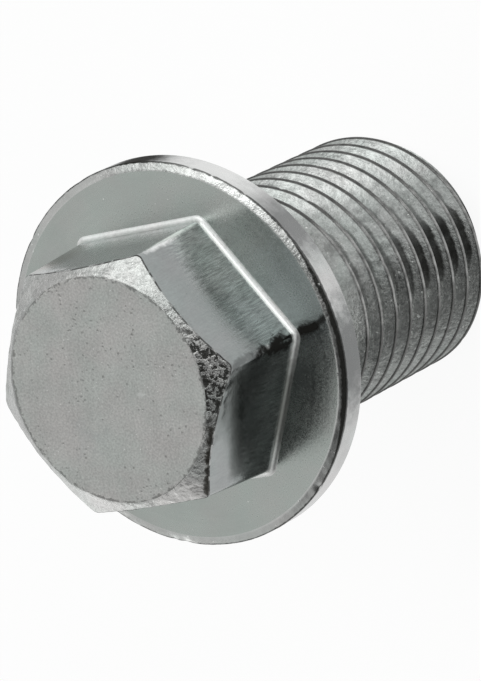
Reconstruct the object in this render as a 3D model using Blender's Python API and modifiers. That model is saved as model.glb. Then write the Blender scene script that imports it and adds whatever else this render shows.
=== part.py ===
"""Flanged hexagon oil drain plug with a metric fine thread.

The plug stands on its threaded end: +Z runs up its axis from the end of the thread to the
front of the head, and the origin is the centre of the end face.
"""
from math import ceil, cos, pi, radians, sin, sqrt, tan

import bmesh
import bpy

MM = 0.001

# Thread
THREAD_DIAMETER = 14.0 * MM
THREAD_PITCH = 1.5 * MM
THREAD_FLANK = radians(30.0)
CREST_SHARE = 1 / 8
ROOT_SHARE = 1 / 6
THREAD_START = radians(20.0)
END_CHAMFER = radians(45.0)

# Stud and plain neck, measured from the back of the flange
STUD_LENGTH = 20.0 * MM
NECK_LENGTH = 5.6 * MM
NECK_CLEARANCE = 0.10 * MM
NECK_FILLET = 0.40 * MM
NECK_SHOULDER = radians(30.0)

# Flange
FLANGE_DIAMETER = 21.4 * MM
FLANGE_THICKNESS = 1.6 * MM
RIM_BEVEL_WIDTH = 0.50 * MM
RIM_BEVEL_DEPTH = 0.16 * MM
BACK_EDGE = 0.10 * MM

# Hexagon head
ACROSS_FLATS = 14.0 * MM
HEAD_HEIGHT = 6.4 * MM
HEAD_DRAFT = radians(3.5)
CORNER_RADIUS = 0.45 * MM
HEAD_FILLET = 0.40 * MM
FACE_DIAMETER = 12.5 * MM
HEAD_CHAMFER = radians(31.0)

# Fineness of the mesh
ROUND_STEPS = 72
ARC_STEPS = 4
OVERLAP = 0.5 * MM
MERGE_DISTANCE = 1e-7

# Heights that follow from the sizes
FLANGE_BACK = STUD_LENGTH
FLANGE_FACE = FLANGE_BACK + FLANGE_THICKNESS
HEAD_FACE = FLANGE_FACE + HEAD_HEIGHT
THREAD_TOP = FLANGE_BACK - NECK_LENGTH

# Radii that follow from the sizes
CREST_RADIUS = THREAD_DIAMETER / 2
THREAD_DEPTH = THREAD_PITCH * (1 - CREST_SHARE - ROOT_SHARE) / 2 / tan(THREAD_FLANK)
ROOT_RADIUS = CREST_RADIUS - THREAD_DEPTH
NECK_RADIUS = ROOT_RADIUS - NECK_CLEARANCE
FLANGE_RADIUS = FLANGE_DIAMETER / 2

ZINC_PLATE = (0.52, 0.54, 0.53, 1.0)


def clear_scene():
    """Remove every object, so that the script builds the same model in any file."""
    for obj in list(bpy.data.objects):
        bpy.data.objects.remove(obj, do_unlink=True)


def new_collection(name):
    """Make a collection under the scene."""
    collection = bpy.data.collections.new(name)
    bpy.context.scene.collection.children.link(collection)
    return collection


def zinc_plated_steel():
    """Make the one material of the plug."""
    material = bpy.data.materials.new("zinc_plated_steel")
    material.use_nodes = True
    shader = material.node_tree.nodes["Principled BSDF"]
    shader.inputs["Base Color"].default_value = ZINC_PLATE
    shader.inputs["Metallic"].default_value = 1.0
    shader.inputs["Roughness"].default_value = 0.38
    return material


def object_from_bmesh(name, bm, collection):
    """Turn a bmesh into an object of the collection."""
    mesh = bpy.data.meshes.new(name)
    bm.to_mesh(mesh)
    bm.free()
    obj = bpy.data.objects.new(name, mesh)
    collection.objects.link(obj)
    return obj


def turned(name, profile, collection):
    """Turn a profile of (radius, height) points, given from top to bottom, about the Z axis."""
    bm = bmesh.new()
    points = [bm.verts.new((radius, 0.0, height)) for radius, height in profile]
    for start, end in zip(points, points[1:]):
        bm.edges.new((start, end))
    obj = object_from_bmesh(name, bm, collection)
    screw = obj.modifiers.new("turn", "SCREW")
    screw.axis = "Z"
    screw.angle = 2 * pi
    screw.steps = ROUND_STEPS
    screw.render_steps = ROUND_STEPS
    screw.use_smooth_shade = True
    screw.use_merge_vertices = True
    screw.merge_threshold = MERGE_DISTANCE
    return obj


def boolean(obj, operation, tool):
    """Add an exact Boolean of another object."""
    modifier = obj.modifiers.new(tool.name, "BOOLEAN")
    modifier.operation = operation
    modifier.solver = "EXACT"
    modifier.object = tool


def as_tool(obj):
    """Show an object as a wire tool that isn't rendered."""
    obj.hide_render = True
    obj.display_type = "WIRE"
    return obj


def blank_profile():
    """Outline of the turned blank: flange, plain neck and stud, before the thread is cut."""
    points = [
        (0.0, FLANGE_FACE),
        (FLANGE_RADIUS - RIM_BEVEL_WIDTH, FLANGE_FACE),
        (FLANGE_RADIUS, FLANGE_FACE - RIM_BEVEL_DEPTH),
        (FLANGE_RADIUS, FLANGE_BACK + BACK_EDGE),
        (FLANGE_RADIUS - BACK_EDGE, FLANGE_BACK),
    ]
    for step in range(ARC_STEPS + 1):
        turn = pi / 2 * step / ARC_STEPS
        points.append((
            NECK_RADIUS + NECK_FILLET * (1 - sin(turn)),
            FLANGE_BACK - NECK_FILLET * (1 - cos(turn)),
        ))
    shoulder = CREST_RADIUS - NECK_RADIUS
    points += [
        (NECK_RADIUS, THREAD_TOP),
        (CREST_RADIUS, THREAD_TOP - shoulder * tan(NECK_SHOULDER)),
        (CREST_RADIUS, shoulder * tan(END_CHAMFER)),
        (NECK_RADIUS, 0.0),
        (0.0, 0.0),
    ]
    return points


def hexagon_outline(apothem, corner_radius):
    """Points of a regular hexagon with rounded corners, the first corner on +X."""
    outline = []
    centre_distance = (apothem - corner_radius) / cos(pi / 6)
    for corner in range(6):
        corner_angle = corner * pi / 3
        centre_x = centre_distance * cos(corner_angle)
        centre_y = centre_distance * sin(corner_angle)
        for step in range(ARC_STEPS + 1):
            angle = corner_angle + pi / 3 * (step / ARC_STEPS - 0.5)
            outline.append((
                centre_x + corner_radius * cos(angle),
                centre_y + corner_radius * sin(angle),
            ))
    return outline


def head_sections():
    """Heights and outlines of the head, from inside the flange up past the fillet to the front."""
    half_width = ACROSS_FLATS / 2
    sections = []
    sunk_outline = hexagon_outline(half_width + HEAD_FILLET, CORNER_RADIUS + HEAD_FILLET)
    sections.append((FLANGE_FACE - OVERLAP, sunk_outline))
    for step in range(ARC_STEPS + 1):
        turn = pi / 2 * step / ARC_STEPS
        flare = HEAD_FILLET * (1 - sin(turn))
        height = HEAD_FILLET * (1 - cos(turn))
        apothem = half_width - height * tan(HEAD_DRAFT) + flare
        outline = hexagon_outline(apothem, CORNER_RADIUS + flare)
        sections.append((FLANGE_FACE + height, outline))
    top_apothem = half_width - HEAD_HEIGHT * tan(HEAD_DRAFT)
    sections.append((HEAD_FACE, hexagon_outline(top_apothem, CORNER_RADIUS)))
    return sections


def hexagon_head(tools):
    """Loft the drafted hexagon with its fillet, and cut the conical chamfer of its front."""
    bm = bmesh.new()
    rings = [
        [bm.verts.new((x, y, height)) for x, y in outline]
        for height, outline in head_sections()
    ]
    bm.faces.new(reversed(rings[0]))
    bm.faces.new(rings[-1])
    for lower, upper in zip(rings, rings[1:]):
        count = len(lower)
        for here in range(count):
            after = (here + 1) % count
            bm.faces.new((lower[here], lower[after], upper[after], upper[here]))
    head = object_from_bmesh("hexagon_head", bm, tools)

    reach = ACROSS_FLATS / sqrt(3) + 2 * HEAD_FILLET
    face_radius = FACE_DIAMETER / 2
    drop = (reach - face_radius) * tan(HEAD_CHAMFER)
    bottom = FLANGE_FACE - 2 * OVERLAP
    cone = turned("chamfer_cone", [
        (0.0, HEAD_FACE),
        (face_radius, HEAD_FACE),
        (reach, HEAD_FACE - drop),
        (reach, bottom),
        (0.0, bottom),
    ], tools)
    boolean(head, "INTERSECT", as_tool(cone))
    return as_tool(head)


def thread_groove(tools):
    """Sweep the V section of the thread along a right-hand helix, past both ends of the thread."""
    crest_gap = THREAD_PITCH * CREST_SHARE
    root_half = THREAD_PITCH * ROOT_SHARE / 2
    proud = crest_gap / 4 / tan(THREAD_FLANK)
    mouth_radius = CREST_RADIUS + proud
    mouth_half = root_half + (mouth_radius - ROOT_RADIUS) * tan(THREAD_FLANK)
    start = -mouth_half
    turns = (THREAD_TOP + 2 * mouth_half) / THREAD_PITCH
    steps = ceil(turns * ROUND_STEPS)

    bm = bmesh.new()
    section = bm.faces.new([
        bm.verts.new((ROOT_RADIUS, 0.0, start - root_half)),
        bm.verts.new((mouth_radius, 0.0, start - mouth_half)),
        bm.verts.new((mouth_radius, 0.0, start + mouth_half)),
        bm.verts.new((ROOT_RADIUS, 0.0, start + root_half)),
    ])
    bmesh.ops.spin(
        bm, geom=list(section.verts) + list(section.edges) + [section],
        cent=(0.0, 0.0, 0.0), axis=(0.0, 0.0, 1.0), dvec=(0.0, 0.0, THREAD_PITCH / ROUND_STEPS),
        angle=2 * pi * steps / ROUND_STEPS, steps=steps)
    bmesh.ops.recalc_face_normals(bm, faces=bm.faces)
    groove = object_from_bmesh("thread_groove", bm, tools)
    half_facet = pi / ROUND_STEPS
    groove.rotation_euler.z = THREAD_START + half_facet
    return as_tool(groove)


def drain_plug():
    """Build the plug: the turned blank, its hexagon head and the cut thread."""
    model = new_collection("oil_drain_plug")
    tools = new_collection("forming_tools")
    plug = turned("drain_plug", blank_profile(), model)
    boolean(plug, "UNION", hexagon_head(tools))
    boolean(plug, "DIFFERENCE", thread_groove(tools))
    plug.data.materials.append(zinc_plated_steel())
    return plug


clear_scene()
drain_plug()
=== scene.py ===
"""Studio scene of a flanged hexagon oil drain plug in zinc-plated steel.

The plug stands on the end of its thread, with +Z up its axis and the head at the top. The
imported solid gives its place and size. The pieces built here stand for it, with the rounded
edges, forging marks, tool marks and handling nicks of the real one. Shapes are in metres, and
the finishes are laid out in millimetres.
"""
import logging
from dataclasses import dataclass, field
from enum import Enum, IntEnum
from functools import cached_property
from math import atan2, ceil, cos, pi, radians, sin, tan
from random import Random
from typing import Iterable, Mapping, Optional, Sequence, Union

import bpy
import numpy as np
from mathutils import Matrix, Vector, noise


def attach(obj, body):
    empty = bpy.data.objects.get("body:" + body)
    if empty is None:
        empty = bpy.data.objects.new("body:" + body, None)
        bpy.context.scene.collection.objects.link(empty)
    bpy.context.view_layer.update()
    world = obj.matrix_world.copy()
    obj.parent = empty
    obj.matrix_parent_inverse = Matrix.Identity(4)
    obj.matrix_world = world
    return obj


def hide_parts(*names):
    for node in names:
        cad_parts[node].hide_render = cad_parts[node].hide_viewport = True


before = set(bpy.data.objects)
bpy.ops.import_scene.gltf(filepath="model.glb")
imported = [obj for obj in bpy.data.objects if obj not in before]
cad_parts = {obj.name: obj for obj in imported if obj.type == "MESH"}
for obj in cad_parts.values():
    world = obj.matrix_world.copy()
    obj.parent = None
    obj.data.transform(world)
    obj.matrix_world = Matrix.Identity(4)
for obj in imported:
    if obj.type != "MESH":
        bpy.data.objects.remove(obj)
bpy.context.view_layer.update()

LOG = logging.getLogger("drain_plug")

MM = 0.001
NODE = "drain_plug"
BODY = "root"

Colour = tuple[float, float, float]
Point = tuple[float, float, float]
Pair = tuple[float, float]

# Sizes that the pieces share
FLANGE_BACK = 20.0 * MM
FLANGE_THICKNESS = 1.6 * MM
FLANGE_FACE = FLANGE_BACK + FLANGE_THICKNESS
SUNK = 0.40 * MM
SHARP_ANGLE = radians(38.0)

# Colours laid on the plate: pits, painted glints, painted shade in hollows, a matt dark cover of
# dirt and painted shade, black and dark brown patches, and worn crests
PIT = (0.10, 0.10, 0.095)
# Painted highlight: the colour of small glints
GLINT = (0.93, 0.93, 0.92)
# Painted shade in the hollows of the forged relief
HOLLOW_SHADE = (0.045, 0.045, 0.042)
# Matt dark cover that stands for dirt and for painted shade
GRIME_AND_SHADE = (0.02, 0.02, 0.018)
BLACK = (0.01, 0.01, 0.01)
BURNT = (0.10, 0.085, 0.06)
WORN = (1.0, 1.0, 0.98)

# Levels between which fractal noise mostly lies
NOISE_RANGE = (0.28, 0.72)

# Fineness and reach of the ragged outline of spots, their smallest size and their solid core
WANDER_SCALE = 2.6
WANDER_REACH = 0.42
SMALLEST_SPOT = 0.35
SPOT_CORE = 0.35


@dataclass(frozen=True)
class Wire:
    """An output socket of a node sheet, with operators that add Math nodes."""

    sheet: "NodeSheet"
    socket: bpy.types.NodeSocket

    def output(self, name: str) -> "Wire":
        """Another output of the same node."""
        return Wire(self.sheet, find_socket(self.socket.node.outputs, name))

    def __add__(self, other: "Level") -> "Wire":
        """Sum of two levels."""
        return self.sheet.math("ADD", self, other)

    def __radd__(self, other: float) -> "Wire":
        """Sum with a number on the left."""
        return self.sheet.math("ADD", other, self)

    def __sub__(self, other: "Level") -> "Wire":
        """Difference of two levels."""
        return self.sheet.math("SUBTRACT", self, other)

    def __rsub__(self, other: float) -> "Wire":
        """Difference with a number on the left, as in 1 - mask."""
        return self.sheet.math("SUBTRACT", other, self)

    def __mul__(self, other: "Level") -> "Wire":
        """Product of two levels."""
        return self.sheet.math("MULTIPLY", self, other)

    def __rmul__(self, other: float) -> "Wire":
        """Product with a number on the left."""
        return self.sheet.math("MULTIPLY", other, self)

    def __truediv__(self, other: "Level") -> "Wire":
        """Quotient of two levels."""
        return self.sheet.math("DIVIDE", self, other)

    def __rtruediv__(self, other: float) -> "Wire":
        """Quotient with a number on the left."""
        return self.sheet.math("DIVIDE", other, self)


Level = Union[Wire, float]
Value = Union[Wire, float, Sequence[float]]
Key = Union[str, int]


def find_socket(sockets: Iterable[bpy.types.NodeSocket], key: Key) -> bpy.types.NodeSocket:
    """Find a socket by its place, identifier or name.

    Args:
        sockets: the inputs or outputs of a node.
        key: the place, or the identifier or name.

    Returns:
        The first socket that fits.
    """
    every = list(sockets)
    if isinstance(key, int):
        return every[key]
    for label in ("identifier", "name"):
        for socket in every:
            if getattr(socket, label) == key:
                return socket
    raise KeyError(key)


def opaque(colour: Value) -> Value:
    """A colour with an alpha of 1, or the wire as it is."""
    return colour if isinstance(colour, Wire) else (*colour, 1.0)


class NodeSheet:
    """A shader tree, to which nodes are added by plain expressions."""

    def __init__(self, tree: bpy.types.NodeTree) -> None:
        """Start with an empty tree."""
        self.tree = tree
        tree.nodes.clear()

    def add(
        self,
        kind: str,
        settings: Optional[Mapping[str, object]] = None,
        sockets: Optional[Mapping[Key, Value]] = None,
        output: Key = 0,
    ) -> Wire:
        """Add a node.

        Args:
            kind: the node's type.
            settings: its options, set first; "stops" holds a ramp's (place, level) pairs.
            sockets: values or links of its inputs, by name, identifier or place.
            output: the output to return.

        Returns:
            The wire of that output. It holds no socket if the node has no outputs.
        """
        node = self.tree.nodes.new(kind)
        for name, value in (settings or {}).items():
            if name == "stops":
                self._set_stops(node.color_ramp, value)
            else:
                setattr(node, name, value)
        for key, value in (sockets or {}).items():
            socket = find_socket(node.inputs, key)
            if isinstance(value, Wire):
                self.tree.links.new(value.socket, socket)
            else:
                socket.default_value = value
        return Wire(self, find_socket(node.outputs, output) if len(node.outputs) else None)

    @staticmethod
    def _set_stops(ramp: bpy.types.ColorRamp, stops: Sequence[Pair]) -> None:
        """Give a ramp its grey stops.

        Args:
            ramp: the ramp of a Color Ramp node.
            stops: pairs of place and grey level, in order.
        """
        while len(ramp.elements) < len(stops):
            ramp.elements.new(1.0)
        for element, (place, level) in zip(ramp.elements, stops):
            element.position = place
            element.color = (level, level, level, 1.0)

    def math(self, operation: str, *levels: Level, clamp: bool = False) -> Wire:
        """A level from a Math node, held between 0 and 1 where it is clamped."""
        settings = {"operation": operation, "use_clamp": clamp}
        return self.add("ShaderNodeMath", settings, dict(enumerate(levels)))

    def vector(self, operation: str, *values: Value) -> Wire:
        """A vector from a Vector Math node."""
        return self.add("ShaderNodeVectorMath", {"operation": operation}, dict(enumerate(values)))

    def number(self, operation: str, *values: Value) -> Wire:
        """A level from a Vector Math node, such as a length or a dot product."""
        return self.vector(operation, *values).output("Value")

    def scaled(self, vector: Value, factor: Level) -> Wire:
        """A vector or colour multiplied by a level."""
        sockets = {"Vector": vector, "Scale": factor}
        return self.add("ShaderNodeVectorMath", {"operation": "SCALE"}, sockets)

    def step(self, level: Level, start: float, end: float) -> Wire:
        """Rise smoothly from 0 at start to 1 at end, which may be the lower of the two.

        Args:
            level: what is measured.
            start: where the result is 0.
            end: where the result is 1.

        Returns:
            The mask.
        """
        first, last = (0.0, 1.0) if start < end else (1.0, 0.0)
        return self.add("ShaderNodeMapRange", {"interpolation_type": "SMOOTHSTEP"}, {
            "Value": level, "From Min": min(start, end), "From Max": max(start, end),
            "To Min": first, "To Max": last})

    def blend(self, mask: Level, first: Value, second: Value) -> Wire:
        """Mix two colours.

        Args:
            mask: 0 for the first colour, 1 for the second.
            first: a colour.
            second: a colour.

        Returns:
            The mixed colour.
        """
        return self.add(
            "ShaderNodeMix", {"data_type": "RGBA"},
            {"Factor_Float": mask, "A_Color": opaque(first), "B_Color": opaque(second)},
            "Result_Color")


class Surface(NodeSheet):
    """The sheet of a material, which knows the place on the plug in millimetres."""

    @cached_property
    def point(self) -> Wire:
        """The place."""
        return self.scaled(self.add("ShaderNodeTexCoord", output="Object"), 1.0 / MM)

    @cached_property
    def along(self) -> Wire:
        """Its height along the plug's axis."""
        return self.add("ShaderNodeSeparateXYZ", None, {"Vector": self.point}, "Z")

    @cached_property
    def flat(self) -> Wire:
        """The place without its height."""
        return self.vector("MULTIPLY", self.point, (1.0, 1.0, 0.0))

    @cached_property
    def spoke(self) -> Wire:
        """Its direction from the axis."""
        return self.vector("NORMALIZE", self.flat)

    @cached_property
    def reach(self) -> Wire:
        """Its distance from the axis."""
        return self.number("LENGTH", self.flat)

    def noise(
        self, scale: float, detail: float = 3.0, rough: float = 0.55, point: Optional[Wire] = None
    ) -> Wire:
        """Fractal noise, spread to fill 0 to 1.

        Args:
            scale: its cells in a millimetre.
            detail: its octaves.
            rough: how strong the fine octaves are.
            point: where it is read, if not at the place itself.

        Returns:
            A level that is about 0.5 on average.
        """
        raw = self.add("ShaderNodeTexNoise", {"noise_dimensions": "3D"}, {
            "Vector": point or self.point, "Scale": scale, "Detail": detail, "Roughness": rough})
        return self.step(raw, *NOISE_RANGE)

    def spots(self, scale: float, share: Level, radius: float) -> Wire:
        """Scattered spots with ragged outlines.

        Args:
            scale: cells in a millimetre.
            share: the share of cells that hold a spot.
            radius: size of a spot, in cells.

        Returns:
            A mask that is 1 in the spots.
        """
        wander = self.add(
            "ShaderNodeTexNoise", {"noise_dimensions": "3D"},
            {"Vector": self.point, "Scale": scale * WANDER_SCALE, "Detail": 2.0}, "Color")
        ragged = self.vector("ADD", self.point, self.scaled(wander, WANDER_REACH / scale))
        distance = self.add(
            "ShaderNodeTexVoronoi", None, {"Vector": ragged, "Scale": scale}, "Distance")
        draw = self.add("ShaderNodeSeparateColor", None, {"Color": distance.output("Color")})
        size = SMALLEST_SPOT + (1.0 - SMALLEST_SPOT) * draw.output("Green")
        chosen = self.math("LESS_THAN", draw, share)
        return self.step(distance / size, radius, radius * SPOT_CORE) * chosen


@dataclass(frozen=True)
class Side:
    """A side of the plug, by its azimuth and where it fades, in degrees."""

    azimuth: float
    far: float
    near: float

    def mask(self, surface: Surface) -> Wire:
        """How far a place is on that side.

        Args:
            surface: the surface.

        Returns:
            0 beyond the far angle and 1 within the near one.
        """
        heading = (cos(radians(self.azimuth)), sin(radians(self.azimuth)), 0.0)
        turned = surface.number("DOT_PRODUCT", surface.spoke, heading)
        return surface.step(turned, cos(radians(self.far)), cos(radians(self.near)))


@dataclass(frozen=True)
class Fade:
    """A level that falls from 1 by an amount, between two heights in millimetres."""

    start: float
    end: float
    amount: float

    def level(self, surface: Surface) -> Wire:
        """The level at the height of a place."""
        return 1.0 - self.amount * surface.step(surface.along, self.start, self.end)


@dataclass(frozen=True)
class StainOrLight:
    """A soft patch of another colour, or a stroke of it when it has an end; some are marks on the
    plate, others painted light and shade.

    Its axes are squeezed by the squash factors.
    """

    centre: Point
    radius: float
    strength: float
    tint: Colour = BURNT
    squash: Point = (1.0, 1.0, 1.0)
    ragged: float = 0.9
    matt: bool = False
    end: Optional[Point] = None
    scale: float = 1.6
    core: float = 0.25

    def mask(self, surface: Surface) -> Wire:
        """How much of the patch a place shows.

        Args:
            surface: the surface.

        Returns:
            0 outside the patch and its strength inside.
        """
        offset = surface.vector("SUBTRACT", surface.point, self.centre)
        if self.end:
            run = tuple(last - first for first, last in zip(self.centre, self.end))
            ahead = surface.number("DOT_PRODUCT", offset, run)
            share = surface.math("DIVIDE", ahead, sum(part * part for part in run), clamp=True)
            offset = surface.vector("SUBTRACT", offset, surface.scaled(run, share))
        distance = surface.number("LENGTH", surface.vector("MULTIPLY", offset, self.squash))
        wander = (surface.noise(self.scale, 4.0, 0.7) - 0.5) * (self.radius * self.ragged)
        edge = surface.step(distance + wander, self.radius, self.radius * self.core)
        return edge * self.strength


class Lay(Enum):
    """The way that the tool marks run."""

    NONE = "none"
    ACROSS = "across the front, one way"
    ALONG = "along the axis"
    AROUND = "around the axis"
    HELIX = "along the thread"


# How much the tool marks are drawn out in their own direction
ACROSS_DRAW = (0.05, 1.0, 1.0)
ALONG_DRAW = (1.0, 1.0, 0.085)
AROUND_DRAW = 0.35

# How fast turned marks change along the axis, next to outwards from it
CLIMB = {Lay.AROUND: 0.83, Lay.HELIX: 0.02}


@dataclass(frozen=True)
class Streaks:
    """Tool marks of a finish, which may be calm over some of its height."""

    lay: Lay = Lay.NONE
    count: float = 8.0
    contrast: float = 0.10
    depth: float = 0.0015
    heading: float = radians(71.0)
    calm: Optional[Fade] = None
    rough: float = 0.04

    def pattern(self, surface: Surface) -> Wire:
        """Draw the marks.

        Args:
            surface: the surface.

        Returns:
            The level of the marks, from 0 to 1.
        """
        if self.lay is Lay.ACROSS:
            turned = surface.add("ShaderNodeVectorRotate", {"rotation_type": "Z_AXIS"}, {
                "Vector": surface.point, "Angle": -self.heading})
            return surface.noise(self.count, point=surface.vector("MULTIPLY", turned, ACROSS_DRAW))
        if self.lay is Lay.ALONG:
            drawn = surface.vector("MULTIPLY", surface.point, ALONG_DRAW)
            return surface.noise(self.count, 4.0, 0.65, drawn)
        pace = surface.reach + CLIMB[self.lay] * surface.along
        climb = surface.add("ShaderNodeCombineXYZ", None, {"Z": pace})
        path = surface.vector("ADD", surface.scaled(surface.spoke, AROUND_DRAW), climb)
        return surface.noise(self.count, 3.0, 0.6, path)

    def read(self, surface: Surface) -> Wire:
        """The marks at a place, from -0.5 to 0.5 and weaker where they are calm."""
        marks = self.pattern(surface) - 0.5
        return marks * self.calm.level(surface) if self.calm else marks


@dataclass
class Look:
    """What a finish has laid down so far on a surface."""

    surface: Surface
    colour: Wire
    rough: Wire
    height: Wire
    coarse: Level
    # Mask of the matt dark cover of dirt and painted shade
    grime_and_shade: Level = 0.0

    def paint(self, mask: Level, colour: Value) -> None:
        """Lay a colour on the places of a mask."""
        self.colour = self.surface.blend(mask, self.colour, colour)

    def soil_and_shade(self, mask: Wire) -> None:
        """Cover the places of a mask with the matt dark cover of dirt and painted shade."""
        self.grime_and_shade = self.surface.math("MAXIMUM", self.grime_and_shade, mask)

    def clean(self, mask: Wire) -> None:
        """Take any of the matt dark cover of dirt and painted shade off the places of a mask."""
        if isinstance(self.grime_and_shade, Wire):
            self.grime_and_shade = self.grime_and_shade * (1.0 - mask)


@dataclass(frozen=True)
class ZincFinish:
    """Zinc plate on one kind of surface of the plug. Depths are in millimetres."""

    name: str
    tone: Colour
    roughness: float
    least_roughness: float = 0.08
    tint: float = 0.016
    tint_scale: float = 0.42
    mottle: float = 0.10
    mottle_scale: float = 0.45
    mottle_rough: float = 0.08
    grain: float = 0.08
    grain_scale: float = 6.0
    grain_depth: float = 0.0015
    grain_rough: float = 0.10
    streaks: Streaks = Streaks()
    fade: Optional[Fade] = None
    rough_side: Optional[Side] = None
    rough_floor: float = 0.15
    relief_depth: float = 0.0
    relief_scale: float = 1.8
    hollow: Pair = (0.42, 0.16)
    # Painted shade in the hollows of the relief, with more of it on one side
    hollow_shade: float = 0.0
    hollow_shade_rough: float = 0.2
    hollow_shade_side: Optional[Side] = None
    hollow_shade_edge: Pair = (0.58, 0.40)
    hollow_shade_strength: float = 0.9
    pits: float = 0.0
    pit_scale: float = 2.4
    pit_depth: float = 0.02
    pit_shade: float = 0.8
    pit_size: float = 0.34
    lone_pits: float = 0.08
    crowded_pits: float = 2.6
    crowd_scale: float = 0.40
    crowd_edge: Pair = (0.50, 1.0)
    # Painted glints: bright specks that stand for highlights
    glints: float = 0.0
    glint_size: float = 0.34
    glint_scale: float = 1.9
    glint_height: float = 0.4
    stains_or_light: tuple[StainOrLight, ...] = ()
    # Patches of the matt dark cover over the whole surface
    grime_and_shade: float = 0.0
    grime_scale: float = 2.0
    grime_edge: Pair = (0.20, 0.50)

    def material(self) -> bpy.types.Material:
        """Make the material.

        Returns:
            A material whose nodes give the colour, roughness, relief, dirt and painted shade of
            this finish.
        """
        material = bpy.data.materials.new(self.name)
        material.use_nodes = True
        surface = Surface(material.node_tree)
        look = self.plate(surface)
        for layer in (self.roughen, self.pit, self.sparkle, self.stain_or_light, self.wear):
            layer(look)
        relief = surface.add(
            "ShaderNodeBump", None, {"Strength": 1.0, "Distance": MM, "Height": look.height})
        metal = surface.add("ShaderNodeBsdfPrincipled", None, {
            "Base Color": look.colour, "Metallic": 1.0, "Normal": relief,
            "Roughness": surface.math("MAXIMUM", look.rough, self.least_roughness)})
        # The matt dark cover, which stands for dirt and for painted shade
        grime_and_shade = surface.add("ShaderNodeBsdfDiffuse", None, {"Color": opaque(GRIME_AND_SHADE)})
        both = surface.add("ShaderNodeMixShader", None, {0: look.grime_and_shade, 1: metal, 2: grime_and_shade})
        surface.add("ShaderNodeOutputMaterial", None, {"Surface": both})
        return material

    def shifted(self, warmth: float) -> Colour:
        """The tone with more red and a little less green, or the reverse below 0."""
        red, green, blue = self.tone
        return red * (1.0 + warmth), green * (1.0 - 0.4 * warmth), blue

    def coarseness(self, surface: Surface) -> Level:
        """How coarse the surface is, from the floor level up to 1 on its rough side."""
        near = self.rough_side.mask(surface) if self.rough_side else 1.0
        return self.rough_floor + (1.0 - self.rough_floor) * near

    def plate(self, surface: Surface) -> Look:
        """Start with the plate itself: its tone, mottling, grain and tool marks.

        Args:
            surface: the surface.

        Returns:
            The look so far.
        """
        broad = surface.noise(self.mottle_scale, 4.0) - 0.5
        fine = surface.noise(self.grain_scale, 4.0, 0.65)
        coarse = self.coarseness(surface)
        shade = 1.0 + self.mottle * broad + self.grain * (fine - 0.5) * coarse
        height = fine * self.grain_depth * coarse
        rough = self.roughness + self.grain_rough * (fine - 0.5) + self.mottle_rough * broad
        if self.streaks.lay is not Lay.NONE:
            marks = self.streaks.read(surface)
            shade = shade + self.streaks.contrast * marks
            height = height + marks * self.streaks.depth
            rough = rough + self.streaks.rough * marks
        if self.fade:
            shade = shade * self.fade.level(surface)
        drift = surface.noise(self.tint_scale)
        tone = surface.blend(drift, self.shifted(-self.tint), self.shifted(self.tint))
        return Look(surface, surface.scaled(tone, shade), rough, height, coarse)

    def roughen(self, look: Look) -> None:
        """Add the crumpled relief of a forging, with painted shade in its hollows, more of it on
        one side.

        Args:
            look: the look, which is changed.
        """
        if not self.relief_depth:
            return
        surface = look.surface
        crumple = surface.noise(self.relief_scale, 5.0, 0.62)
        look.height = look.height + crumple * look.coarse * self.relief_depth
        # Painted shade darkens the hollows of the relief
        hollow = surface.step(crumple, *self.hollow) * self.hollow_shade * look.coarse
        look.paint(hollow, HOLLOW_SHADE)
        look.rough = look.rough + self.hollow_shade_rough * hollow
        # More painted shade, as matt cover, in the hollows on one side
        if self.hollow_shade_side:
            near = self.hollow_shade_side.mask(surface)
            look.soil_and_shade(surface.step(crumple, *self.hollow_shade_edge) * near * self.hollow_shade_strength)

    def pit(self, look: Look) -> None:
        """Sink small pits, some alone and most in loose crowds.

        Args:
            look: the look, which is changed.
        """
        if not self.pits:
            return
        surface = look.surface
        crowd = surface.step(surface.noise(self.crowd_scale, 2.0), *self.crowd_edge)
        share = self.pits * (self.lone_pits + self.crowded_pits * crowd)
        holes = surface.spots(self.pit_scale, share, self.pit_size)
        look.height = look.height - holes * self.pit_depth
        look.paint(holes * self.pit_shade, PIT)

    def sparkle(self, look: Look) -> None:
        """Paint small bright specks that stand for glints, as painted highlights, each with a
        slight bump.

        Args:
            look: the look, which is changed.
        """
        if not self.glints:
            return
        scale = self.pit_scale * self.glint_scale
        painted_glints = look.surface.spots(scale, self.glints, self.glint_size)
        look.height = look.height + painted_glints * self.pit_depth * self.glint_height
        look.paint(painted_glints, GLINT)

    def stain_or_light(self, look: Look) -> None:
        """Lay the soft patches of colour, some of them painted light and shade, and the patches of
        the matt dark cover over the whole surface.

        Args:
            look: the look, which is changed.
        """
        for stain_or_light in self.stains_or_light:
            mask = stain_or_light.mask(look.surface)
            look.paint(mask, stain_or_light.tint)
            change = look.soil_and_shade if stain_or_light.matt else look.clean
            change(mask)
        if self.grime_and_shade:
            patches = look.surface.noise(self.grime_scale)
            look.soil_and_shade(look.surface.step(patches, *self.grime_edge) * self.grime_and_shade)

    def wear(self, look: Look) -> None:
        """Leave the look as it is; a finish with wear of its own changes it."""


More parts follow.
